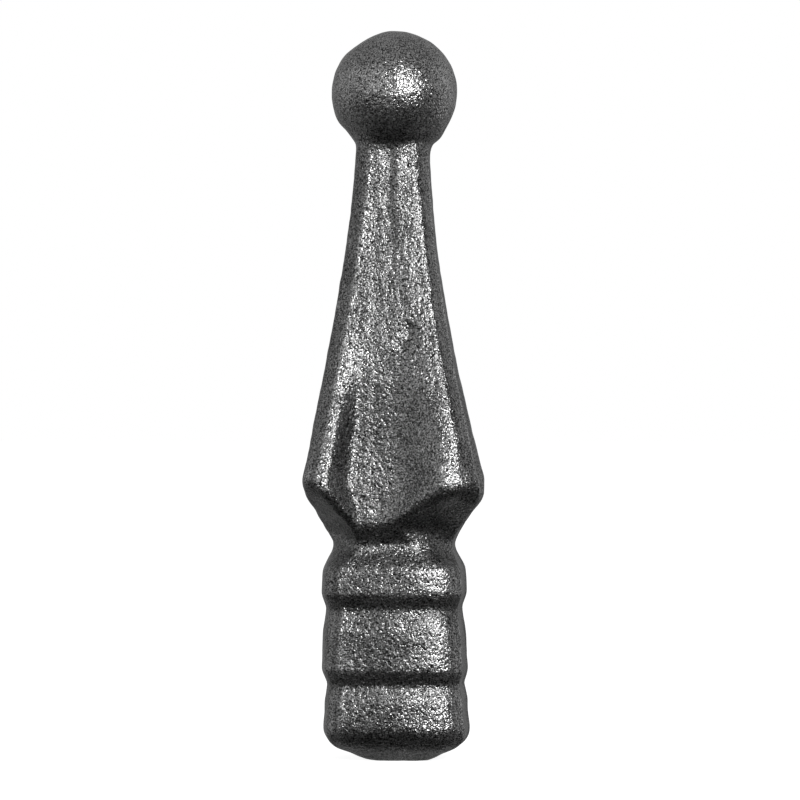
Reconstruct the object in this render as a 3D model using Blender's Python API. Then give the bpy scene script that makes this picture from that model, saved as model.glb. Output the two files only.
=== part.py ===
"""A forged fence spear point: a ball on a hollow-faced, four-sided shaft over a foot with three bands.

Metres, +Z up. The origin is the middle of the flat under the foot, which is welded to the picket's end,
and the four faces look along -Y, +X, +Y and -X.

The forging is one solid, lofted from the foot to the ball. Its outline gives each height the distance
from the axis to a face. Its section there is a square with cut corners and rounded edges, and at the
ball that section turns into a circle.
"""

import math

import bmesh
import bpy
import numpy as np

MM = 0.001

# The foot: a weld flat, a domed underside and three bands, from the picket upwards.
FOOT_HALF_WIDTH = 12.0 * MM
WELD_FLAT_HALF_WIDTH = 6.0 * MM
BAND_HEIGHTS = (13.1 * MM, 13.0 * MM, 10.7 * MM)
UNDERSIDE_RISE = 2.1 * MM
UNDERSIDE_INSET = 1.8 * MM
UNDERSIDE_FILLET = 6.0 * MM
HEEL_HEIGHT = 5.0 * MM
HEEL_FILLET = 6.0 * MM

# Each groove has a steep side under the band above it and a long slope down to the band below it. The
# drops are those of the slopes on top of the three bands, from the picket upwards.
GROOVE_DEPTH = 0.9 * MM
GROOVE_STEEP_RISE = 2.3 * MM
BAND_SLOPE_DROPS = (2.8 * MM, 4.0 * MM, 4.0 * MM)
GROOVE_FILLET = 0.9 * MM
BAND_TOP_FILLET = 3.0 * MM
BAND_BOTTOM_FILLET = 1.5 * MM

# The neck, the shoulder and the shaft. The half widths of the first two are those of their sharp corners.
NECK_HALF_WIDTH = 9.8 * MM
NECK_FILLET = 3.0 * MM
SHOULDER_RISE = 9.8 * MM
SHOULDER_HALF_WIDTH = 15.45 * MM
SHOULDER_FILLET = 5.5 * MM
SHAFT_LENGTH = 59.0 * MM
SHAFT_TOP_HALF_WIDTH = 6.2 * MM
SHAFT_FLARE = 1.5
BALL_RADIUS = 10.7 * MM
BALL_FILLET = 1.4 * MM

# The forging isn't quite straight: between its shoulder and its ball it bows towards -X.
SHAFT_BOW = 0.5 * MM

# The corners: how much each face loses to the cut at its side, and the radius of the two edges of the cut.
FOOT_CORNER_CUT = 3.0 * MM
NECK_CORNER_CUT = 4.4 * MM
WAIST_CORNER_CUT = 8.2 * MM
SHAFT_CORNER_CUT = 2.6 * MM
FOOT_EDGE_RADIUS = 1.4 * MM
NECK_EDGE_RADIUS = 3.0 * MM
SHAFT_EDGE_RADIUS = 1.3 * MM

# The facets under the shoulder are turned, so each face runs down to a point left of its middle.
WAIST_HEIGHT = 3.2 * MM
WAIST_SKEW = 3.2 * MM

# The faces: the foot's swell a little, and the shaft's are scooped. A scoop's floor starts level with
# its face at the lip, this high above the neck, and flares less than the face does.
FOOT_FACE_SWELL = 0.2 * MM
LIP_HEIGHT = 3.4 * MM
FLOOR_FLARE = 0.85
SHAFT_TOP_HOLLOW = 0.15 * MM

# Across a face, from its left edge (0) to its right (1), the scoop falls steeply and rises again slowly.
SCOOP_FALLS = (0.04, 0.24)
SCOOP_RISES = (0.52, 0.95)

# How finely the surface is divided.
FACE_POINTS = 9
EDGE_STEPS = 2
WAIST_RINGS = 8
SHAFT_RINGS = 13
BALL_RINGS = 15
ARC_STEP = math.radians(16)

IRON_COLOUR = (0.16, 0.16, 0.165, 1.0)
IRON_ROUGHNESS = 0.42


def heights():
    """The named levels of the forging, each worked out from the one under it."""
    neck = sum(BAND_HEIGHTS)
    shoulder = neck + SHOULDER_RISE
    shaft_top = shoulder + SHAFT_LENGTH
    ball_centre = shaft_top + math.sqrt(BALL_RADIUS**2 - SHAFT_TOP_HALF_WIDTH**2)
    return {"neck": neck, "shoulder": shoulder, "shaft_top": shaft_top, "ball_centre": ball_centre}


def foot_corners():
    """The foot's outline as (height, half width, fillet) corners, up to the top of its last band."""
    corners = [
        (0.0, WELD_FLAT_HALF_WIDTH, 0.0),
        (UNDERSIDE_RISE, FOOT_HALF_WIDTH - UNDERSIDE_INSET, UNDERSIDE_FILLET),
        (HEEL_HEIGHT, FOOT_HALF_WIDTH, HEEL_FILLET),
    ]
    top = 0.0
    for height, drop in zip(BAND_HEIGHTS[:-1], BAND_SLOPE_DROPS):
        top += height
        corners += [
            (top - drop, FOOT_HALF_WIDTH, BAND_TOP_FILLET),
            (top, FOOT_HALF_WIDTH - GROOVE_DEPTH, GROOVE_FILLET),
            (top + GROOVE_STEEP_RISE, FOOT_HALF_WIDTH, BAND_BOTTOM_FILLET),
        ]
    last_top = top + BAND_HEIGHTS[-1]
    corners.append((last_top - BAND_SLOPE_DROPS[-1], FOOT_HALF_WIDTH, BAND_TOP_FILLET))
    return corners


def shaft_corners(level):
    """The neck, the shoulder and the flaring shaft, as corners of the outline up to the ball."""
    corners = [
        (level["neck"], NECK_HALF_WIDTH, NECK_FILLET),
        (level["shoulder"], SHOULDER_HALF_WIDTH, SHOULDER_FILLET),
    ]
    for step in range(1, SHAFT_RINGS + 1):
        share = 1 - step / SHAFT_RINGS
        flare = (SHOULDER_HALF_WIDTH - SHAFT_TOP_HALF_WIDTH) * share**SHAFT_FLARE
        fillet = BALL_FILLET if step == SHAFT_RINGS else 0.0
        height = level["shaft_top"] - SHAFT_LENGTH * share
        corners.append((height, SHAFT_TOP_HALF_WIDTH + flare, fillet))
    return corners


def ball_corners(level):
    """The ball's outline, from just above the shaft to just under its top."""
    start = math.pi - math.asin(SHAFT_TOP_HALF_WIDTH / BALL_RADIUS)
    corners = []
    for step in range(1, BALL_RINGS):
        polar = start * (1 - step / BALL_RINGS)
        height = level["ball_centre"] + BALL_RADIUS * math.cos(polar)
        corners.append((height, BALL_RADIUS * math.sin(polar), 0.0))
    return corners


def fillet_arc(before, corner, after, radius, steps=None):
    """The points of an arc of that radius that touches both sides of a corner."""
    into = (corner - before) / np.linalg.norm(corner - before)
    out = (after - corner) / np.linalg.norm(after - corner)
    turn = math.acos(float(np.clip(into @ out, -1, 1)))
    reach = radius * math.tan(turn / 2)
    shortest = min(np.linalg.norm(corner - before), np.linalg.norm(after - corner))
    if reach > shortest / 2:
        radius *= shortest / 2 / reach
        reach = shortest / 2
    side = math.copysign(1.0, into[0] * out[1] - into[1] * out[0])
    centre = corner - into * reach + side * radius * np.array([-into[1], into[0]])
    steps = steps or max(1, math.ceil(turn / ARC_STEP))
    start = corner - into * reach - centre
    points = []
    for step in range(steps + 1):
        angle = side * turn * step / steps
        cos, sin = math.cos(angle), math.sin(angle)
        points.append(centre + np.array([start[0] * cos - start[1] * sin, start[0] * sin + start[1] * cos]))
    return points


def outline(corners):
    """The outline's points, (height, half width), with an arc wherever a corner has a fillet."""
    places = [np.array(corner[:2]) for corner in corners]
    points = [places[0]]
    for before, corner, after, place in zip(places, places[1:], places[2:], corners[1:]):
        points += fillet_arc(before, corner, after, place[2]) if place[2] else [corner]
    points.append(places[-1])
    return points


def with_waist(points, level):
    """The outline with more points on its straight stretch below the shoulder, where the facets turn."""
    known = np.array(points)
    spacing = SHOULDER_RISE / WAIST_RINGS
    added = []
    for i in range(1, WAIST_RINGS):
        height = level["neck"] + spacing * i
        if np.abs(known[:, 0] - height).min() > spacing / 3:
            added.append(np.array([height, np.interp(height, known[:, 0], known[:, 1])]))
    return sorted(points + added, key=lambda point: point[0])


def section_form(level):
    """What shapes a section at each level: its height, corner cut, edge radius and skew."""
    band_top = level["neck"] - BAND_SLOPE_DROPS[-1]
    underside = WELD_FLAT_HALF_WIDTH / FOOT_HALF_WIDTH
    waist = level["neck"] + WAIST_HEIGHT
    brow = level["shoulder"] + 0.1 * SHOULDER_RISE
    return [
        (0.0, FOOT_CORNER_CUT * underside, FOOT_EDGE_RADIUS * underside, 0.0),
        (HEEL_HEIGHT, FOOT_CORNER_CUT, FOOT_EDGE_RADIUS, 0.0),
        (band_top, FOOT_CORNER_CUT, FOOT_EDGE_RADIUS, 0.0),
        (level["neck"], NECK_CORNER_CUT, NECK_EDGE_RADIUS, 0.0),
        (waist, WAIST_CORNER_CUT, SHAFT_EDGE_RADIUS, WAIST_SKEW),
        (brow, SHAFT_CORNER_CUT, SHAFT_EDGE_RADIUS, 0.0),
        (level["shaft_top"], SHAFT_CORNER_CUT, SHAFT_EDGE_RADIUS, 0.0),
    ]


def face_hollow(height, half_width, level):
    """How deep the faces are scooped at one height. Below the neck it is negative: there they swell."""
    if height < level["neck"]:
        edges = [0.0, HEEL_HEIGHT, level["neck"] - BAND_SLOPE_DROPS[-1], level["neck"]]
        return -FOOT_FACE_SWELL * float(np.interp(height, edges, [0.0, 1.0, 1.0, 0.0]))
    lip = level["neck"] + LIP_HEIGHT
    lip_width = NECK_HALF_WIDTH + (SHOULDER_HALF_WIDTH - NECK_HALF_WIDTH) * LIP_HEIGHT / SHOULDER_RISE
    top_floor = SHAFT_TOP_HALF_WIDTH - SHAFT_TOP_HOLLOW
    share = min(max((level["shaft_top"] - height) / (level["shaft_top"] - lip), 0), 1)
    floor = top_floor + (lip_width - top_floor) * share**FLOOR_FLARE
    return max(half_width - floor, 0)


def direction(angle):
    return np.array([math.cos(angle), math.sin(angle)])


def eased(value, start, end):
    """0 before the start, 1 past the end, and a smooth step between them."""
    share = np.clip((value - start) / (end - start), 0, 1)
    return share * share * (3 - 2 * share)


def scoop(share):
    """How much of a face's hollow there is at one place across it."""
    return eased(share, *SCOOP_FALLS) * (1 - eased(share, *SCOOP_RISES))


def section(face, cut, radius, hollow, skew):
    """A square with cut corners and rounded edges, as points round the axis, starting on the +X face."""
    corners = []
    for side in range(4):
        normal, along = direction(side * math.pi / 2), direction((side + 1) * math.pi / 2)
        corners += [normal * face - along * (face - cut + skew), normal * face + along * (face - cut - skew)]
    count = len(corners)
    arcs = [
        fillet_arc(corners[i - 1], corners[i], corners[(i + 1) % count], radius, EDGE_STEPS)
        for i in range(count)
    ]
    points = []
    for side in range(4):
        normal = direction(side * math.pi / 2)
        start, end, following = arcs[2 * side][-1], arcs[2 * side + 1], arcs[(2 * side + 2) % count]
        for step in range(1, FACE_POINTS + 1):
            share = step / (FACE_POINTS + 1)
            points.append(start + (end[0] - start) * share - normal * hollow * scoop(share))
        points += end
        points.append((end[-1] + following[0]) / 2)
        points += following
    return points


def circle(radius, count):
    """As many points as a section has, evenly round a circle, each beside its point of the section."""
    middle = (FACE_POINTS - 1) / 2
    return [radius * direction((point - middle) * 2 * math.pi / count) for point in range(count)]


def bow(height, level):
    """How far the axis stands off the straight line at one height."""
    share = (height - level["shoulder"]) / (level["ball_centre"] - level["shoulder"])
    return np.array([-SHAFT_BOW * math.sin(math.pi * np.clip(share, 0, 1)), 0.0])


def ring(height, half_width, level):
    """The loft's points at one height: a section of the forging, or a circle on the ball."""
    form = section_form(level)
    levels = [station[0] for station in form]
    cut, radius, skew = [np.interp(height, levels, [station[i] for station in form]) for i in range(1, 4)]
    squared = section(half_width, cut, radius, face_hollow(height, half_width, level), skew)
    round_points = circle(half_width, len(squared))
    roundness = np.clip((height - level["shaft_top"] + BALL_FILLET) / (2 * BALL_FILLET), 0, 1)
    shift = bow(height, level)
    return [(1 - roundness) * a + roundness * b + shift for a, b in zip(squared, round_points)]


def loft(name, rings, tip_height):
    """One closed object through the rings: a flat face closes the first one, and a fan the last."""
    mesh = bpy.data.meshes.new(name)
    shape = bmesh.new()
    loops = [[shape.verts.new((x, y, height)) for x, y in points] for height, points in rings]
    tip = shape.verts.new((0, 0, tip_height))
    shape.faces.new(reversed(loops[0]))
    count = len(loops[0])
    for lower, upper in zip(loops, loops[1:]):
        for i in range(count):
            j = (i + 1) % count
            shape.faces.new((lower[i], lower[j], upper[j], upper[i]))
    for i in range(count):
        shape.faces.new((loops[-1][i], loops[-1][(i + 1) % count], tip))
    shape.to_mesh(mesh)
    shape.free()
    mesh.shade_smooth()
    mesh.set_sharp_from_angle(angle=math.radians(35))
    return bpy.data.objects.new(name, mesh)


def iron():
    """Raw forged iron, dark grey and half rough."""
    material = bpy.data.materials.new("raw_iron")
    material.use_nodes = True
    shader = material.node_tree.nodes["Principled BSDF"]
    shader.inputs["Base Color"].default_value = IRON_COLOUR
    shader.inputs["Metallic"].default_value = 1.0
    shader.inputs["Roughness"].default_value = IRON_ROUGHNESS
    return material


def main():
    for old in list(bpy.data.objects):
        bpy.data.objects.remove(old)
    parts = bpy.data.collections.new("fence_spear_point")
    bpy.context.scene.collection.children.link(parts)

    level = heights()
    points = outline(foot_corners() + shaft_corners(level) + ball_corners(level))
    points = with_waist(points, level)
    rings = [(height, ring(height, half_width, level)) for height, half_width in points]
    point = loft("spear_point", rings, level["ball_centre"] + BALL_RADIUS)
    point.data.materials.append(iron())
    parts.objects.link(point)


main()
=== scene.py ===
"""A raw forged iron fence spear point, standing on a pale floor under soft studio light.

Metres, +Z up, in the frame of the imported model. The four faces look along -Y, +X, +Y and -X, and the
camera looks along +Y. The visual piece is a fine loft of the solid's own form, with the forging's worn
edges, dents, streaks, pits and grain worked into its surface. A face's left and right are those of
someone who looks at it.
"""

import math
import random

import bpy
import numpy as np
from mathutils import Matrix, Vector, noise


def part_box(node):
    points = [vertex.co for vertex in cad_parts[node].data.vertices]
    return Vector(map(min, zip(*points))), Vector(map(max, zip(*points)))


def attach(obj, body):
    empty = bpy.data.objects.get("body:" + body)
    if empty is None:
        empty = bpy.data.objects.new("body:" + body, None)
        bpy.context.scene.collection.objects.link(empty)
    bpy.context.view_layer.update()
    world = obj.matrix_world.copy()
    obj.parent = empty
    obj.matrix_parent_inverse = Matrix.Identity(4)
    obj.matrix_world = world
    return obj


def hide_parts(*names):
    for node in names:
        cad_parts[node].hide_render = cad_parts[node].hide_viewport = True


MM = 0.001

# The solid's sizes. Only here, the weld flat's edge is rounded, the heel is a little sharper and the bands
# taper upwards.
FOOT_HALF_WIDTH = 12.0 * MM
WELD_FLAT_HALF_WIDTH = 6.0 * MM
WELD_FLAT_FILLET = 1.0 * MM
BAND_HEIGHTS = (13.1 * MM, 13.0 * MM, 10.7 * MM)
BAND_TAPER = 0.25 * MM
UNDERSIDE_RISE = 2.1 * MM
UNDERSIDE_INSET = 1.8 * MM
UNDERSIDE_FILLET = 6.0 * MM
HEEL_HEIGHT = 4.6 * MM
HEEL_FILLET = 4.5 * MM
GROOVE_DEPTH = 0.9 * MM
GROOVE_STEEP_RISE = 2.3 * MM
BAND_SLOPE_DROPS = (2.8 * MM, 4.0 * MM, 4.0 * MM)
GROOVE_FILLET = 0.9 * MM
BAND_TOP_FILLET = 3.0 * MM
BAND_BOTTOM_FILLET = 1.5 * MM
NECK_HALF_WIDTH = 9.8 * MM
NECK_FILLET = 3.0 * MM
SHOULDER_RISE = 9.8 * MM
SHOULDER_HALF_WIDTH = 15.45 * MM
SHOULDER_FILLET = 5.5 * MM
SHAFT_LENGTH = 59.0 * MM
SHAFT_TOP_HALF_WIDTH = 6.2 * MM
SHAFT_FLARE = 1.5
BALL_RADIUS = 10.7 * MM
BALL_FILLET = 1.4 * MM
SHAFT_BOW = 0.5 * MM
FOOT_CORNER_CUT = 3.0 * MM
NECK_CORNER_CUT = 4.4 * MM
WAIST_CORNER_CUT = 8.2 * MM
SHAFT_CORNER_CUT = 2.6 * MM
FOOT_EDGE_RADIUS = 1.4 * MM
NECK_EDGE_RADIUS = 3.0 * MM
SHAFT_EDGE_RADIUS = 1.3 * MM
WAIST_HEIGHT = 3.2 * MM
WAIST_SKEW = 3.2 * MM
LIP_HEIGHT = 3.4 * MM
FLOOR_FLARE = 0.85
SHAFT_TOP_HOLLOW = 0.15 * MM
SCOOP_FALLS = (0.04, 0.24)
SCOOP_RISES = (0.52, 0.95)

# The shaft's sections begin this share of the shoulder's rise above the shoulder.
BROW_SHARE = 0.1

# The worn edges, in times the solid's radius. Each face's left edge is crisp all the way up. Its right edge
# is soft, more so at some heights than at others.
CRISP_EDGE = 0.6
SOFT_FOOT = 2.6
SOFT_WAIST = 1.2
SOFT_SHOULDER = 3.8
SOFT_MIDDLE = 0.9
SOFT_SHAFT_TOP = 2.2

# Each face's right edge lies twice its lean nearer to the corner than the solid's. There the face has
# fallen away by its fall, which begins at this share of the face.
FOOT_LEAN = 0.65 * MM
FOOT_FALL = 0.75 * MM
SHOULDER_LEAN = 0.35 * MM
SHAFT_TOP_LEAN = 0.6 * MM
SHAFT_TOP_FALL = 0.18 * MM
FALL_START = 0.45

# The foot's faces swell as share * share * (1 - share), and the factor makes the highest value of that 1.
FOOT_FACE_SWELL = 0.3 * MM
SWELL_FACTOR = 27 / 4

# The blade's scoop is at its full depth up to one share of the way from the shoulder to the shaft's top,
# and has died out at another.
SCOOP_FULL = 0.15
SCOOP_ENDS = 0.55

# At the shaft's top the scoop is shallow: it falls slowly from the left and rises quickly past its middle.
# On the way from the shoulder to the shaft's top it starts, is full and dies out at these shares.
TOP_SCOOP_DEPTH = 0.3 * MM
TOP_FALLS = (0.0, 0.5)
TOP_RISES = (0.46, 0.66)
TOP_SCOOP_STARTS = 0.3
TOP_SCOOP_FULL = 0.85
TOP_SCOOP_DIES = (1.0, 1.05)

# The front face's right corner, just above the shoulder, is worn away a little.
WORN_CORNER_X = 14.2 * MM
WORN_CORNER_RISE = 2.6 * MM
WORN_REACH = 3.6 * MM
WORN_DEPTH = 1.15 * MM

# The two dies met halfway between front and back, and left a low ridge down the sides.
PARTING_RISE = 0.15 * MM
PARTING_REACH = 0.6 * MM

# The forging's lumps: the rise, size and seed of each kind. From the neck to the ball there are streaks
# too, drawn out upwards, which fade away at both ends.
LUMPS = ((0.10 * MM, 9.0 * MM, 3.1), (0.07 * MM, 3.2 * MM, 11.7), (0.05 * MM, 1.5 * MM, 23.3))
STREAK_RISE = 0.09 * MM
STREAK_SIZE = 1.9 * MM
STREAK_SEED = 41.9
STREAK_STRETCH = 14
STREAK_FADE = 4.0 * MM

# The pits: those all over the forging up to its ball, and those in the group on the front of the shaft. A
# pit is sunk where the surface comes nearest to its place, if that is within reach.
PIT_SEED = 7
SCATTERED_PITS = 90
GROUPED_PITS = 9
PIT_REACH = 4.0 * MM

# Where the edges are painted brighter, partly as scale worn off and partly as a painted highlight that is
# strongest on the right edges:
# how far into a face from its left and its right edge, as shares of the face, how fast that fades over the
# cut corner beyond them, how far up and down from the worn corner's height the shaft's right edges are
# brightened, and how much brighter the metal is there.
CRISP_WEAR_AND_HIGHLIGHT = 0.035
SOFT_WEAR_AND_HIGHLIGHT = 0.17
CRISP_WEAR_AND_HIGHLIGHT_FADE = 6
SOFT_WEAR_AND_HIGHLIGHT_FADE = 5
SHOULDER_WEAR_AND_HIGHLIGHT = 4.0 * MM
WEAR_AND_HIGHLIGHT_BRIGHTNESS = 1.6

# The ball is painted this much brighter than the rest, as painted light for the stronger light it catches.
# The change starts this far below the shaft's top, and is complete this far above it.
BALL_PAINTED_LIGHT = 1.86
BALL_PAINTED_LIGHT_STARTS = 1.0 * MM
BALL_PAINTED_LIGHT_FULL = 4.0 * MM

# The fine mesh: the spacing of its rings, the points round a quarter of each, and the half width of the
# first one, in the middle of the weld flat. The shoulder's fillet takes the shaft's first steps.
RING_SPACING = 0.47 * MM
FACE_POINTS = 44
EDGE_STEPS = 6
CUT_POINTS = 12
FIRST_HALF_WIDTH = 0.2 * MM
SHAFT_STEPS = 60
SHAFT_FIRST_STEP = 5
BALL_STEPS = 60
ARC_STEP = math.radians(4)

# How far the outline and the form of the sections are smoothed. Where the shaft meets the ball the outline
# is smoothed again, within about this reach.
OUTLINE_BLUR = 0.35 * MM
FORM_BLUR = 0.9 * MM
JOIN_BLUR = 0.9 * MM
JOIN_REACH = 2.0 * MM

# The iron's surface, as noise: its scales, the greys or the roughness that it gives as a ramp's stops, and
# how high its bumps are.
GRAIN_SCALE = 4300
LUMP_SCALE = 1700
SPECK_SCALE = 4200
PATCH_SCALE = 150
PATCH_DETAIL = 4
PATCH_ROUGHNESS = 0.6
SPECK_TONES = ((0.3, 0.1), (0.7, 1.9))
PATCH_TONES = ((0.3, 0.14), (0.7, 0.225))
LUMP_GLOSS = ((0.3, 0.23), (0.7, 0.37))
GRAIN_BUMP = 0.08 * MM
LUMP_BUMP = 0.11 * MM

# The view: what the frame spans at the object, and where its middle is.
FRAME_SPAN = 137.6 * MM
FRAME_CENTRE_X = 0.95 * MM
FRAME_CENTRE_Z = 61.6 * MM
CAMERA_DISTANCE = 0.8
CAMERA_AZIMUTH = 3.0

# The room: its greys from straight down (0) to straight up (1), on the camera's side and behind the object.
# The second takes over between these places along Y.
FRONT_ROOM = ((0.0, 0.045), (0.15, 0.062), (0.36, 0.12), (0.5, 0.16), (0.62, 0.20), (0.9, 0.26))
BACK_ROOM = ((0.0, 0.6), (0.25, 0.14), (0.55, 0.30))
BACK_ROOM_ALONG_Y = (0.1, 0.8)

# How far off the lights are, and the floor's reach, grey, roughness and glow.
LIGHT_DISTANCE = 0.9
FLOOR_REACH = 6.0
FLOOR_GREY = 0.6
FLOOR_ROUGHNESS = 0.9
FLOOR_GLOW = 0.9


def heights():
    """The named levels of the forging, each worked out from the one under it."""
    neck = sum(BAND_HEIGHTS)
    shoulder = neck + SHOULDER_RISE
    shaft_top = shoulder + SHAFT_LENGTH
    ball_centre = shaft_top + math.sqrt(BALL_RADIUS**2 - SHAFT_TOP_HALF_WIDTH**2)
    return {"neck": neck, "shoulder": shoulder, "shaft_top": shaft_top, "ball_centre": ball_centre}


def foot_corners():
    """The foot's outline as (height, half width, fillet) corners, up to the top of its last band."""
    corners = [
        (0.0, FIRST_HALF_WIDTH, 0.0),
        (0.0, WELD_FLAT_HALF_WIDTH, WELD_FLAT_FILLET),
        (UNDERSIDE_RISE, FOOT_HALF_WIDTH - UNDERSIDE_INSET, UNDERSIDE_FILLET),
        (HEEL_HEIGHT, FOOT_HALF_WIDTH, HEEL_FILLET),
    ]
    top = 0.0
    for height, drop in zip(BAND_HEIGHTS[:-1], BAND_SLOPE_DROPS):
        top += height
        corners += [
            (top - drop, FOOT_HALF_WIDTH - BAND_TAPER, BAND_TOP_FILLET),
            (top, FOOT_HALF_WIDTH - GROOVE_DEPTH, GROOVE_FILLET),
            (top + GROOVE_STEEP_RISE, FOOT_HALF_WIDTH, BAND_BOTTOM_FILLET),
        ]
    last_top = top + BAND_HEIGHTS[-1]
    corners.append((last_top - BAND_SLOPE_DROPS[-1], FOOT_HALF_WIDTH - BAND_TAPER, BAND_TOP_FILLET))
    return corners


def shaft_corners(level):
    """The neck, the shoulder and the flaring shaft, as corners of the outline up to the ball."""
    corners = [
        (level["neck"], NECK_HALF_WIDTH, NECK_FILLET),
        (level["shoulder"], SHOULDER_HALF_WIDTH, SHOULDER_FILLET),
    ]
    flare = SHOULDER_HALF_WIDTH - SHAFT_TOP_HALF_WIDTH
    for step in range(SHAFT_FIRST_STEP, SHAFT_STEPS):
        share = 1 - step / SHAFT_STEPS
        height = level["shaft_top"] - SHAFT_LENGTH * share
        corners.append((height, SHAFT_TOP_HALF_WIDTH + flare * share**SHAFT_FLARE, 0.0))
    corners.append((level["shaft_top"], SHAFT_TOP_HALF_WIDTH, 0.0))
    return corners


def ball_corners(level):
    """The ball's outline, from just above the shaft to just under its top."""
    start = math.pi - math.asin(SHAFT_TOP_HALF_WIDTH / BALL_RADIUS)
    corners = []
    for step in range(1, BALL_STEPS):
        polar = start * (1 - step / BALL_STEPS)
        height = level["ball_centre"] + BALL_RADIUS * math.cos(polar)
        corners.append((height, BALL_RADIUS * math.sin(polar), 0.0))
    return corners


def fillet_arc(before, corner, after, radius, steps=None):
    """The points of an arc that touches both sides of a corner, of that radius or as much of it as fits."""
    into = (corner - before) / np.linalg.norm(corner - before)
    out = (after - corner) / np.linalg.norm(after - corner)
    turn = math.acos(float(np.clip(into @ out, -1, 1)))
    reach = radius * math.tan(turn / 2)
    shortest = min(np.linalg.norm(corner - before), np.linalg.norm(after - corner))
    if reach > shortest / 2:
        radius *= shortest / 2 / reach
        reach = shortest / 2
    side = math.copysign(1.0, into[0] * out[1] - into[1] * out[0])
    centre = corner - into * reach + side * radius * np.array([-into[1], into[0]])
    steps = steps or max(1, math.ceil(turn / ARC_STEP))
    start = corner - into * reach - centre
    angles = side * turn * np.arange(steps + 1) / steps
    cos, sin = np.cos(angles), np.sin(angles)
    turned = np.stack([start[0] * cos - start[1] * sin, start[0] * sin + start[1] * cos], axis=1)
    return list(centre + turned)


def outline(corners):
    """The outline's points, (height, half width), with an arc wherever a corner has a fillet."""
    places = [np.array(corner[:2]) for corner in corners]
    points = [places[0]]
    for before, corner, after, place in zip(places, places[1:], places[2:], corners[1:]):
        points += fillet_arc(before, corner, after, place[2]) if place[2] else [corner]
    points.append(places[-1])
    return np.array(points)


def blurred(values, spacing, reach):
    """Values along the outline, each averaged with its neighbours by a bell curve of that reach."""
    half = max(1, int(3 * reach / spacing))
    offsets = np.arange(-half, half + 1) * spacing
    weights = np.exp(-0.5 * (offsets / reach) ** 2)
    padded = np.pad(values, half, mode="reflect", reflect_type="odd")
    return np.convolve(padded, weights / weights.sum(), mode="valid")


def even_outline(points):
    """The outline's heights and half widths at an even spacing, its corners a little worn."""
    along = np.concatenate([[0], np.cumsum(np.linalg.norm(np.diff(points, axis=0), axis=1))])
    count = int(along[-1] / RING_SPACING)
    places = np.linspace(0, along[-1], count)
    levels = np.interp(places, along, points[:, 0])
    widths = np.interp(places, along, points[:, 1])
    spacing = along[-1] / (count - 1)
    return blurred(levels, spacing, OUTLINE_BLUR), blurred(widths, spacing, OUTLINE_BLUR), spacing


def direction(angle):
    """The unit vector at that angle from +X."""
    return np.array([math.cos(angle), math.sin(angle)])


def clamped(share):
    """The share, kept between 0 and 1."""
    return min(max(share, 0), 1)


def eased(value, start, end):
    """0 before the start, 1 past the end, and a smooth step between them."""
    share = np.clip((value - start) / (end - start), 0, 1)
    return share * share * (3 - 2 * share)


def inner_shares(count):
    """The places of that many even points between 0 and 1, without its ends."""
    return (np.arange(count) + 1) / (count + 1)


def section_form(level):
    """What shapes a section at each level: its height, corner cut, edge radius, skew and fall."""
    band_top = level["neck"] - BAND_SLOPE_DROPS[-1]
    underside = WELD_FLAT_HALF_WIDTH / FOOT_HALF_WIDTH
    waist = level["neck"] + WAIST_HEIGHT
    brow = level["shoulder"] + BROW_SHARE * SHOULDER_RISE
    foot_cut = FOOT_CORNER_CUT - FOOT_LEAN
    brow_cut = SHAFT_CORNER_CUT - SHOULDER_LEAN
    top_cut = SHAFT_CORNER_CUT - SHAFT_TOP_LEAN
    return np.array([
        (0.0, foot_cut * underside, FOOT_EDGE_RADIUS * underside, 0.0, 0.0),
        (HEEL_HEIGHT, foot_cut, FOOT_EDGE_RADIUS, -FOOT_LEAN, FOOT_FALL),
        (band_top, foot_cut, FOOT_EDGE_RADIUS, -FOOT_LEAN, FOOT_FALL),
        (level["neck"], NECK_CORNER_CUT, NECK_EDGE_RADIUS, 0.0, 0.0),
        (waist, WAIST_CORNER_CUT, SHAFT_EDGE_RADIUS, WAIST_SKEW, 0.0),
        (brow, brow_cut, SHAFT_EDGE_RADIUS, -SHOULDER_LEAN, 0.0),
        (level["shaft_top"], top_cut, SHAFT_EDGE_RADIUS, -SHAFT_TOP_LEAN, SHAFT_TOP_FALL),
    ])


def softness(levels, level):
    """How many times as round as the solid's the right edge of each face is, at each height."""
    waist = level["neck"] + WAIST_HEIGHT
    middle = (level["shoulder"] + level["shaft_top"]) / 2
    places = [level["neck"], waist, level["shoulder"], middle, level["shaft_top"]]
    factors = [SOFT_FOOT, SOFT_WAIST, SOFT_SHOULDER, SOFT_MIDDLE, SOFT_SHAFT_TOP]
    return np.interp(levels, places, factors)


def topness(levels, level):
    """How much the scoop is the shaft top's at each height: 0 on the blade, 1 at the top."""
    way_up = (levels - level["shoulder"]) / SHAFT_LENGTH
    return eased(way_up, TOP_SCOOP_STARTS, TOP_SCOOP_FULL) * (1 - eased(way_up, *TOP_SCOOP_DIES))


def face_hollows(levels, widths, level):
    """How deep the faces are scooped at each height. Below the neck it is negative: there they swell."""
    edges = [0.0, HEEL_HEIGHT, level["neck"] - BAND_SLOPE_DROPS[-1], level["neck"]]
    swell = -FOOT_FACE_SWELL * np.interp(levels, edges, [0.0, 1.0, 1.0, 0.0])
    lip = level["neck"] + LIP_HEIGHT
    lip_width = NECK_HALF_WIDTH + (SHOULDER_HALF_WIDTH - NECK_HALF_WIDTH) * LIP_HEIGHT / SHOULDER_RISE
    top_floor = SHAFT_TOP_HALF_WIDTH - SHAFT_TOP_HOLLOW
    share = np.clip((level["shaft_top"] - levels) / (level["shaft_top"] - lip), 0, 1)
    floors = top_floor + (lip_width - top_floor) * share**FLOOR_FLARE
    blade = 1 - eased((levels - level["shoulder"]) / SHAFT_LENGTH, SCOOP_FULL, SCOOP_ENDS)
    scooped = np.maximum(widths - floors, 0) * blade + TOP_SCOOP_DEPTH * topness(levels, level)
    return np.where(levels < level["neck"], swell, scooped)


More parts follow.
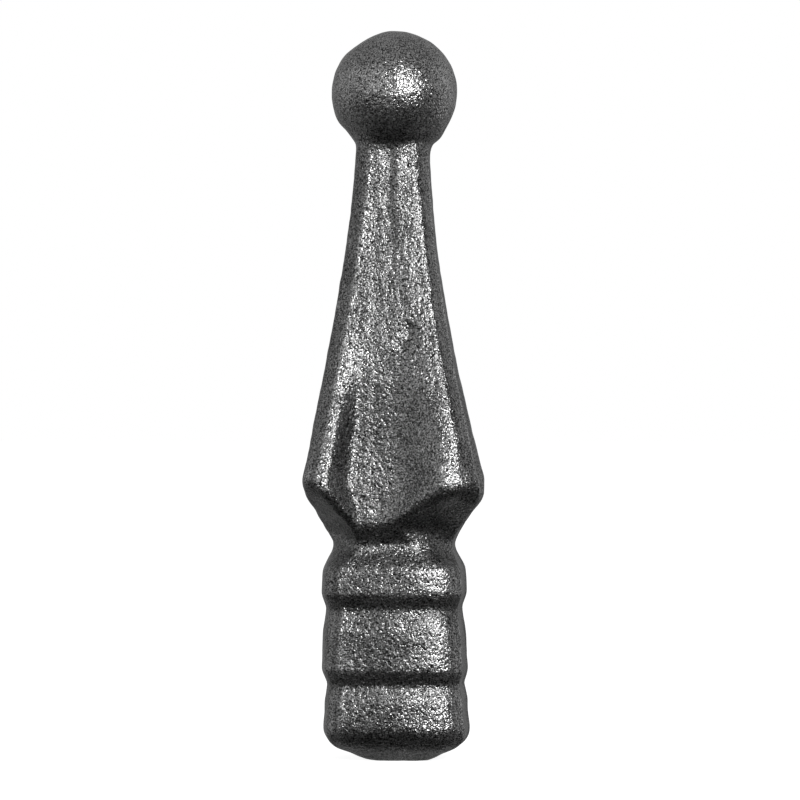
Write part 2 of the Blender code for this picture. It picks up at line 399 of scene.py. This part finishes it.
def scoop(share, top):
    """How much of a face's hollow there is at each place across it, between the blade's and the top's."""
    falls = np.array(SCOOP_FALLS) * (1 - top) + np.array(TOP_FALLS) * top
    rises = np.array(SCOOP_RISES) * (1 - top) + np.array(TOP_RISES) * top
    return eased(share, *falls) * (1 - eased(share, *rises))


def section(face, cut, radius, skew, fall, soft, hollow, top):
    """A square with cut corners and rounded edges, as points round the axis, starting on the +X face.

    The arc of a face's right edge begins along the slope that the fall and the swell end with.
    """
    width = 2 * (face - cut)
    lean = (2 * fall / (1 - FALL_START) + SWELL_FACTOR * max(-hollow, 0)) / width
    corners, inward = [], []
    for side in range(4):
        normal, along = direction(side * math.pi / 2), direction((side + 1) * math.pi / 2)
        corners.append(normal * face - along * (face - cut + skew))
        corners.append(normal * (face - fall) + along * (face - cut - skew))
        inward.append(width * (lean * normal - along))
    count = len(corners)
    arcs = []
    for i, corner in enumerate(corners):
        before = corner + inward[i // 2] if i % 2 else corners[i - 1]
        size = radius * (soft if i % 2 else CRISP_EDGE)
        arcs.append(np.array(fillet_arc(before, corner, corners[(i + 1) % count], size, EDGE_STEPS)))
    share = inner_shares(FACE_POINTS)
    step = inner_shares(CUT_POINTS)[:, None]
    out = fall * (share - np.clip((share - FALL_START) / (1 - FALL_START), 0, 1) ** 2)
    out -= hollow * (scoop(share, top) if hollow > 0 else SWELL_FACTOR * share**2 * (1 - share))
    points = []
    for side in range(4):
        normal = direction(side * math.pi / 2)
        start, end, following = arcs[2 * side][-1], arcs[2 * side + 1], arcs[(2 * side + 2) % count]
        points.append(start + (end[0] - start) * share[:, None] + normal * out[:, None])
        points.append(end)
        points.append(end[-1] + (following[0] - end[-1]) * step)
        points.append(following)
    return np.concatenate(points)


def circle(radius, count):
    """As many points as a section has, evenly round a circle, each beside its point of the section."""
    middle = (FACE_POINTS - 1) / 2
    angles = (np.arange(count) - middle) * 2 * math.pi / count
    return radius * np.stack([np.cos(angles), np.sin(angles)], axis=1)


def bow(height, level):
    """How far the axis stands off the straight line at one height."""
    share = (height - level["shoulder"]) / (level["ball_centre"] - level["shoulder"])
    return -SHAFT_BOW * math.sin(math.pi * clamped(share))


def edge_wear_and_highlight(levels, widths, level):
    """How much each point of each ring is painted brighter, from 0 to 1, as edge wear and as a painted
    highlight: most on the edges of the faces that stand proud.
    """
    share, across_cut = inner_shares(FACE_POINTS), inner_shares(CUT_POINTS)
    edge, no_edge = np.ones(EDGE_STEPS + 1), np.zeros(EDGE_STEPS + 1)
    left = np.exp(-((share / CRISP_WEAR_AND_HIGHLIGHT) ** 2))
    right = np.exp(-(((1 - share) / SOFT_WEAR_AND_HIGHLIGHT) ** 2))
    crisp = np.concatenate([left, no_edge, across_cut**CRISP_WEAR_AND_HIGHLIGHT_FADE, edge])
    soft = np.concatenate([right, edge, (1 - across_cut) ** SOFT_WEAR_AND_HIGHLIGHT_FADE, no_edge])
    bands = np.clip(1 - (FOOT_HALF_WIDTH - widths) / GROOVE_DEPTH, 0, 1) * (levels < level["neck"])
    shaft = eased(levels, level["shoulder"] - SHAFT_EDGE_RADIUS, level["shoulder"] + SHAFT_EDGE_RADIUS)
    shaft *= levels < level["shaft_top"] - BALL_FILLET
    shoulder = shaft * np.exp(-(((levels - level["shoulder"] - WORN_CORNER_RISE) / SHOULDER_WEAR_AND_HIGHLIGHT) ** 2))
    return np.outer(bands + shaft, np.tile(crisp, 4)) + np.outer(bands + shoulder, np.tile(soft, 4))


def form_rings():
    """The forging's form as an array of rings, each a round of points, and how much each point is painted
    brighter as edge wear and painted highlight.
    """
    level = heights()
    corners = foot_corners() + shaft_corners(level) + ball_corners(level)
    levels, widths, spacing = even_outline(outline(corners))
    wear_and_highlight = edge_wear_and_highlight(levels, widths, level)
    form = section_form(level)
    shape = [np.interp(levels, form[:, 0], form[:, i]) for i in range(1, form.shape[1])]
    shape += [softness(levels, level), face_hollows(levels, widths, level), topness(levels, level)]
    shape = np.stack([blurred(values, spacing, FORM_BLUR) for values in shape], axis=1)
    join = np.exp(-(((levels - level["shaft_top"]) / JOIN_REACH) ** 2))
    widths = widths + join * (blurred(widths, spacing, JOIN_BLUR) - widths)
    rings = []
    for height, half_width, (cut, radius, skew, fall, soft, hollow, top) in zip(levels, widths, shape):
        scale = min(1.0, half_width / WELD_FLAT_HALF_WIDTH)
        scaled = [size * scale for size in (cut, radius, skew, fall)]
        squared = section(half_width, *scaled, soft, hollow, top)
        rounded = circle(half_width, len(squared))
        roundness = clamped((height - level["shaft_top"] + BALL_FILLET) / (2 * BALL_FILLET))
        ring = (1 - roundness) * squared + roundness * rounded
        ring[:, 0] += bow(height, level)
        rings.append(np.column_stack([ring, np.full(len(ring), height)]))
    return np.array(rings), wear_and_highlight


def closed_mesh(name, rings):
    """One closed mesh through the rings, with a fan on the first and another on the last."""
    count = rings.shape[1]
    ends = np.array([rings[0].mean(axis=0), rings[-1].mean(axis=0)])
    vertices = np.concatenate([rings.reshape(-1, 3), ends])
    bottom, top = len(vertices) - 2, len(vertices) - 1
    last = (len(rings) - 1) * count
    faces = []
    for low in range(0, last, count):
        for i in range(count):
            j = (i + 1) % count
            faces.append((low + i, low + j, low + count + j, low + count + i))
    for i in range(count):
        j = (i + 1) % count
        faces.append((bottom, j, i))
        faces.append((top, last + i, last + j))
    mesh = bpy.data.meshes.new(name)
    mesh.from_pydata(vertices.tolist(), [], faces)
    mesh.update()
    return mesh


def rough(place, size, seed, stretch=1.0):
    """Smooth noise about zero whose lumps have that size, drawn out along Z by the stretch."""
    return noise.noise(Vector((place[0] / size + seed, place[1] / size, place[2] / size / stretch)))


def uneven(place, level):
    """How far the lumps and streaks stand out at one place of the surface."""
    from_neck = clamped((place[2] - level["neck"]) / STREAK_FADE)
    from_top = clamped((level["shaft_top"] - place[2]) / STREAK_FADE)
    lumps = sum(rise * rough(place, size, seed) for rise, size, seed in LUMPS)
    return lumps + from_neck * from_top * STREAK_RISE * rough(place, STREAK_SIZE, STREAK_SEED, STREAK_STRETCH)


def dents(level):
    """Where the hammered form leaves its outline: each place's x and z, how far it spreads and its rise."""
    return [
        # It is fuller under the shoulder on the right, and above the neck on the left.
        (14.5 * MM, level["shoulder"] - 2.2 * MM, 2.6 * MM, 0.6 * MM),
        (-11.8 * MM, level["neck"] + 3.4 * MM, 3.2 * MM, 0.35 * MM),
        # The lowest band is fuller on the right and flatter on the left.
        (12.3 * MM, 3.6 * MM, 3.4 * MM, 0.75 * MM),
        (12.0 * MM, 12.0 * MM, 4.0 * MM, 0.35 * MM),
        (-12.0 * MM, 8.5 * MM, 4.5 * MM, -0.35 * MM),
        # The underside is worn at both of its ends.
        (-7.5 * MM, 0.0, 3.2 * MM, -0.7 * MM),
        (9.8 * MM, 0.4 * MM, 2.0 * MM, -0.3 * MM),
        # The ball is flatter at its top left. Under it, the right is fuller and the left is tighter.
        (-5.5 * MM, level["ball_centre"] + 9.0 * MM, 3.2 * MM, -0.3 * MM),
        (7.4 * MM, level["shaft_top"] + 0.8 * MM, 2.0 * MM, 0.4 * MM),
        (-8.0 * MM, level["shaft_top"] + 2.0 * MM, 2.2 * MM, -0.45 * MM),
    ]


def relief(places, normals):
    """How far each point of the surface stands out from the forging's form, but for the pits.

    A dent moves what faces sideways, up or down, so the front and the back stay even.
    """
    level = heights()
    out = np.zeros(len(places))
    sideways = np.sqrt(np.clip(1 - normals[:, 1] ** 2, 0, 1))
    for across, up, reach, rise in dents(level):
        apart = (places[:, 0] - across) ** 2 + (places[:, 2] - up) ** 2
        out += rise * sideways * np.exp(-apart / reach**2)
    worn_corner = np.array([WORN_CORNER_X, -SHOULDER_HALF_WIDTH, level["shoulder"] + WORN_CORNER_RISE])
    apart = ((places - worn_corner) ** 2).sum(axis=1)
    out -= WORN_DEPTH * np.exp(-apart / WORN_REACH**2)
    out += PARTING_RISE * np.abs(normals[:, 0]) * np.exp(-((places[:, 1] / PARTING_REACH) ** 2))
    out += np.array([uneven(place, level) for place in places])
    return out


def pits():
    """Where the forging is pitted: each pit's place, radius and depth."""
    draw = random.Random(PIT_SEED)
    shaft_top = heights()["shaft_top"]
    found = []
    for _ in range(SCATTERED_PITS):
        turn = draw.uniform(0, 2 * math.pi)
        height = draw.uniform(2 * MM, shaft_top)
        reach = draw.uniform(6 * MM, 16 * MM)
        radius, depth = draw.uniform(0.5, 1.1) * MM, draw.uniform(0.06, 0.16) * MM
        found.append((Vector((math.cos(turn) * reach, math.sin(turn) * reach, height)), radius, depth))
    for _ in range(GROUPED_PITS):
        across = draw.uniform(1.2, 4.0) * MM
        forward = draw.uniform(8.5, 9.5) * MM
        height = draw.uniform(69, 75) * MM
        radius, depth = draw.uniform(0.5, 0.9) * MM, draw.uniform(0.15, 0.25) * MM
        found.append((Vector((across, -forward, height)), radius, depth))
    return found


def pitted(places, out):
    """The relief with the pits sunk into it."""
    for centre, radius, depth in pits():
        apart = np.linalg.norm(places - np.array(centre), axis=1)
        if apart.min() > PIT_REACH:
            continue
        away = np.linalg.norm(places - places[apart.argmin()], axis=1)
        out -= depth * np.exp(-((away / radius) ** 2))
    return out


def placed(name, data):
    """A new object with that data, in the scene."""
    thing = bpy.data.objects.new(name, data)
    bpy.context.scene.collection.objects.link(thing)
    return thing


def rows(items, name):
    """One vector of each of a mesh's items, such as its place or its normal, as an array's rows."""
    values = np.empty(len(items) * 3)
    items.foreach_get(name, values)
    return values.reshape(-1, 3)


def spear_point():
    """The whole forging: its form, worn and roughened, within the solid's box."""
    rings, wear_and_highlight = form_rings()
    mesh = closed_mesh("spear_point_surface", rings)
    # Each point's painted brightness: edge wear and a painted highlight, mostly on the right edges.
    wear_and_highlight_of_vertices = mesh.attributes.new("edge_wear_and_highlight", "FLOAT", "POINT")
    wear_and_highlight_of_vertices.data.foreach_set("value", np.append(wear_and_highlight.ravel(), [0.0, 0.0]))
    places, normals = rows(mesh.vertices, "co"), rows(mesh.vertices, "normal")
    out = pitted(places, relief(places, normals))
    low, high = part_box("spear_point")
    moved = np.clip(places + normals * out[:, None], np.array(low), np.array(high))
    mesh.vertices.foreach_set("co", moved.ravel())
    mesh.update()
    mesh.shade_smooth()
    return placed("spear_point_surface", mesh)


def link(tree, source, output, target, entry):
    """Joins one node's output to another's input, each by its name or its number."""
    tree.links.new(source.outputs[output], target.inputs[entry])


def noise_node(tree, coordinates, scale, detail=0, roughness=0.5):
    """Noise in the object's own space."""
    node = tree.nodes.new("ShaderNodeTexNoise")
    node.inputs["Scale"].default_value = scale
    node.inputs["Detail"].default_value = detail
    node.inputs["Roughness"].default_value = roughness
    link(tree, coordinates, "Object", node, "Vector")
    return node


def ramp_node(tree, source, output, stops):
    """A colour ramp of greys: (place, grey) stops."""
    node = tree.nodes.new("ShaderNodeValToRGB")
    elements = node.color_ramp.elements
    while len(elements) < len(stops):
        elements.new(0.5)
    for element, (place, grey) in zip(elements, stops):
        element.position = place
        element.color = (grey, grey, grey, 1)
    link(tree, source, output, node, "Fac")
    return node


def range_node(tree, source, output, taken, given=(0.0, 1.0)):
    """One range of a node's output mapped evenly onto another, and held at both ends."""
    node = tree.nodes.new("ShaderNodeMapRange")
    for limit, start, end in zip(("Min", "Max"), taken, given):
        node.inputs["From " + limit].default_value = start
        node.inputs["To " + limit].default_value = end
    link(tree, source, output, node, "Value")
    return node


def multiplied(tree, first, second, output="Color"):
    """The product of one node's colour and another's output."""
    node = tree.nodes.new("ShaderNodeMixRGB")
    node.blend_type = "MULTIPLY"
    node.inputs["Fac"].default_value = 1.0
    link(tree, first, "Color", node, "Color1")
    link(tree, second, output, node, "Color2")
    return node


def bump_node(tree, height, distance):
    """A bump of that distance from a noise."""
    node = tree.nodes.new("ShaderNodeBump")
    node.inputs["Distance"].default_value = distance
    link(tree, height, "Fac", node, "Height")
    return node


def iron():
    """Raw forged iron: dark grey scale over metal, grainy and mottled, painted brighter on its edges as wear
    and painted highlight, and on its ball as painted light.
    """
    material = bpy.data.materials.new("raw_iron_surface")
    material.use_nodes = True
    tree = material.node_tree
    shader = tree.nodes["Principled BSDF"]
    coordinates = tree.nodes.new("ShaderNodeTexCoord")

    grain = noise_node(tree, coordinates, GRAIN_SCALE)
    lumps = noise_node(tree, coordinates, LUMP_SCALE)
    specks = noise_node(tree, coordinates, SPECK_SCALE)
    patches = noise_node(tree, coordinates, PATCH_SCALE, PATCH_DETAIL, PATCH_ROUGHNESS)

    tone = ramp_node(tree, patches, "Fac", PATCH_TONES)
    speckled = multiplied(tree, tone, ramp_node(tree, specks, "Fac", SPECK_TONES))
    # The ball is painted brighter here, as painted light.
    split = tree.nodes.new("ShaderNodeSeparateXYZ")
    link(tree, coordinates, "Object", split, "Vector")
    shaft_top = heights()["shaft_top"]
    ball_painted_light_heights = (shaft_top - BALL_PAINTED_LIGHT_STARTS, shaft_top + BALL_PAINTED_LIGHT_FULL)
    ball_painted_light = range_node(tree, split, "Z", ball_painted_light_heights, (1.0, BALL_PAINTED_LIGHT))
    # The edges are painted brighter, as wear and as a painted highlight on the right edges.
    wear_and_highlight = tree.nodes.new("ShaderNodeAttribute")
    wear_and_highlight.attribute_name = "edge_wear_and_highlight"
    edges = range_node(tree, wear_and_highlight, "Fac", (0.0, 1.0), (1.0, WEAR_AND_HIGHLIGHT_BRIGHTNESS))
    colour = multiplied(tree, multiplied(tree, speckled, ball_painted_light, "Result"), edges, "Result")
    link(tree, colour, "Color", shader, "Base Color")
    link(tree, ramp_node(tree, lumps, "Fac", LUMP_GLOSS), "Color", shader, "Roughness")
    shader.inputs["Metallic"].default_value = 1.0

    coarse = bump_node(tree, lumps, LUMP_BUMP)
    fine = bump_node(tree, grain, GRAIN_BUMP)
    link(tree, coarse, "Normal", fine, "Normal")
    link(tree, fine, "Normal", shader, "Normal")
    return material


def floor():
    """A wide pale floor, which the object's own metal doesn't mirror."""
    mesh = bpy.data.meshes.new("floor")
    corners = [(x * FLOOR_REACH, y * FLOOR_REACH, 0) for x, y in ((-1, -1), (1, -1), (1, 1), (-1, 1))]
    mesh.from_pydata(corners, [], [(0, 1, 2, 3)])
    plane = placed("floor", mesh)
    material = bpy.data.materials.new("pale_floor")
    material.use_nodes = True
    shader = material.node_tree.nodes["Principled BSDF"]
    shader.inputs["Base Color"].default_value = (FLOOR_GREY, FLOOR_GREY, FLOOR_GREY, 1)
    shader.inputs["Roughness"].default_value = FLOOR_ROUGHNESS
    shader.inputs["Emission Color"].default_value = (1, 1, 1, 1)
    shader.inputs["Emission Strength"].default_value = FLOOR_GLOW
    mesh.materials.append(material)
    plane.visible_glossy = False
    plane.visible_diffuse = False


def studio():
    """The room: white where the camera looks, dim round the object and paler behind it."""
    world = bpy.data.worlds.new("studio")
    bpy.context.scene.world = world
    world.use_nodes = True
    tree = world.node_tree
    tree.nodes.clear()
    coordinates = tree.nodes.new("ShaderNodeTexCoord")
    split = tree.nodes.new("ShaderNodeSeparateXYZ")
    link(tree, coordinates, "Generated", split, "Vector")
    height = range_node(tree, split, "Z", (-1.0, 1.0))
    behind = range_node(tree, split, "Y", BACK_ROOM_ALONG_Y)
    round_about = tree.nodes.new("ShaderNodeMixRGB")
    link(tree, behind, "Result", round_about, "Fac")
    link(tree, ramp_node(tree, height, "Result", FRONT_ROOM), "Color", round_about, "Color1")
    link(tree, ramp_node(tree, height, "Result", BACK_ROOM), "Color", round_about, "Color2")
    lit = tree.nodes.new("ShaderNodeBackground")
    link(tree, round_about, "Color", lit, "Color")
    seen = tree.nodes.new("ShaderNodeBackground")
    seen.inputs["Color"].default_value = (1, 1, 1, 1)
    path = tree.nodes.new("ShaderNodeLightPath")
    mix = tree.nodes.new("ShaderNodeMixShader")
    output = tree.nodes.new("ShaderNodeOutputWorld")
    link(tree, path, "Is Camera Ray", mix, "Fac")
    link(tree, lit, "Background", mix, 1)
    link(tree, seen, "Background", mix, 2)
    link(tree, mix, "Shader", output, "Surface")


def softbox(name, azimuth, elevation, width, height, power):
    """A soft light that looks at the object's middle. Azimuth 0 is the camera's side, and +90 is +X."""
    light = bpy.data.lights.new(name, "AREA")
    light.shape = "RECTANGLE"
    light.size = width
    light.size_y = height
    light.energy = power
    lamp = placed(name, light)
    turn, rise = math.radians(azimuth), math.radians(elevation)
    away = Vector((math.sin(turn) * math.cos(rise), -math.cos(turn) * math.cos(rise), math.sin(rise)))
    middle = Vector((0, 0, FRAME_CENTRE_Z))
    lamp.location = middle + away * LIGHT_DISTANCE
    lamp.rotation_euler = (middle - lamp.location).to_track_quat("-Z", "Y").to_euler()
    lamp.visible_camera = False


def lights():
    """A key light on the right, a broad fill on the left, and a dim light from each side."""
    softbox("key", azimuth=23, elevation=18, width=0.28, height=0.28, power=4.8)
    softbox("fill", azimuth=-37, elevation=14, width=0.60, height=0.40, power=0.85)
    softbox("side", azimuth=110, elevation=8, width=0.5, height=0.8, power=0.6)
    softbox("left side", azimuth=-95, elevation=12, width=0.5, height=0.8, power=0.4)


def camera():
    """A long lens at the photograph's angle: level, and almost square to the front face."""
    lens = bpy.data.cameras.new("camera")
    lens.sensor_width = 36
    lens.lens = lens.sensor_width * CAMERA_DISTANCE / FRAME_SPAN
    lens.clip_end = 50
    eye = placed("camera", lens)
    turn = math.radians(CAMERA_AZIMUTH)
    right = Vector((math.cos(turn), math.sin(turn), 0))
    back = Vector((math.sin(turn), -math.cos(turn), 0))
    target = right * FRAME_CENTRE_X + Vector((0, 0, FRAME_CENTRE_Z))
    eye.location = target + back * CAMERA_DISTANCE
    eye.rotation_euler = (-back).to_track_quat("-Z", "Y").to_euler()
    bpy.context.scene.camera = eye


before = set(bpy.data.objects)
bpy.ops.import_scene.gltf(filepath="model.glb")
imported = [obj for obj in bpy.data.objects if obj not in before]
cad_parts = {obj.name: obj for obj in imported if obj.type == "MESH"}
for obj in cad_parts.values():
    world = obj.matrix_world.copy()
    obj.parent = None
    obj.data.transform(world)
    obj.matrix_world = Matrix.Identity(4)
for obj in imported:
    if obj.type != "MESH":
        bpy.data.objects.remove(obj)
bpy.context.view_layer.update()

camera()
studio()
floor()
lights()
bpy.context.scene.view_settings.view_transform = "Standard"

piece = spear_point()
piece.data.materials.append(iron())
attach(piece, "root")
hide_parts("spear_point")
